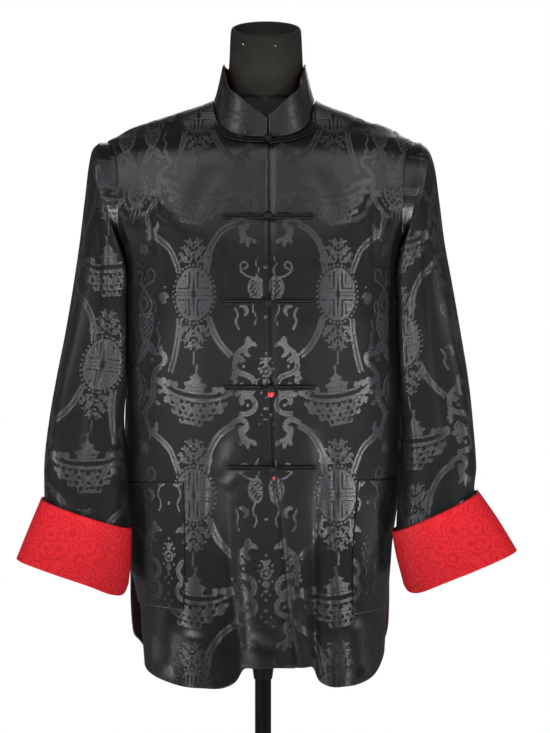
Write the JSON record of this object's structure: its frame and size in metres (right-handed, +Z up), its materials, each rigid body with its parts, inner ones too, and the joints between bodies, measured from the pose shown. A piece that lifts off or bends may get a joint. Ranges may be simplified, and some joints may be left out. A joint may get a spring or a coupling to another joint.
{
  "type": "tang jacket on dress form stand",
  "caption": "Straight hip-length jacket with a stand collar, knotted loop closures, patch pockets and wide turned-back cuffs, hung on a limbless dress form on a pole and round base.",
  "frame": {"origin": "centre of the base plate's underside, on the surface it stands on", "axes": "+Z up along the pole; the jacket's front faces -Y; the wearer's right is at -X"},
  "size_m": [0.6555, 0.34, 1.5108],
  "materials": {
    "black_damask": "satin damask weave",
    "red_lining": "satin weave",
    "black_cord": "satin bias cord",
    "form_cover": "matt",
    "stand_metal": "satin powder coat"
  },
  "bodies": {
    "root": {"front_right": "black_damask", "front_left": "black_damask", "back": "black_damask", "sleeve_right": "black_damask", "sleeve_left": "black_damask", "cuff_right": "red_lining", "cuff_left": "red_lining", "collar": "black_damask", "collar_facing": "red_lining", "pocket_right": "black_damask", "pocket_left": "black_damask", "frog_loop_1": "black_cord", "frog_knot_1": "black_cord", "frog_loop_2": "black_cord", "frog_knot_2": "black_cord", "frog_loop_3": "black_cord", "frog_knot_3": "black_cord", "frog_loop_4": "black_cord", "frog_knot_4": "black_cord", "frog_loop_5": "black_cord", "frog_knot_5": "black_cord", "dress_form": "form_cover", "stand_socket": "stand_metal", "stand_pole": "stand_metal", "stand_base": "stand_metal"}
  },
  "joints": []
}
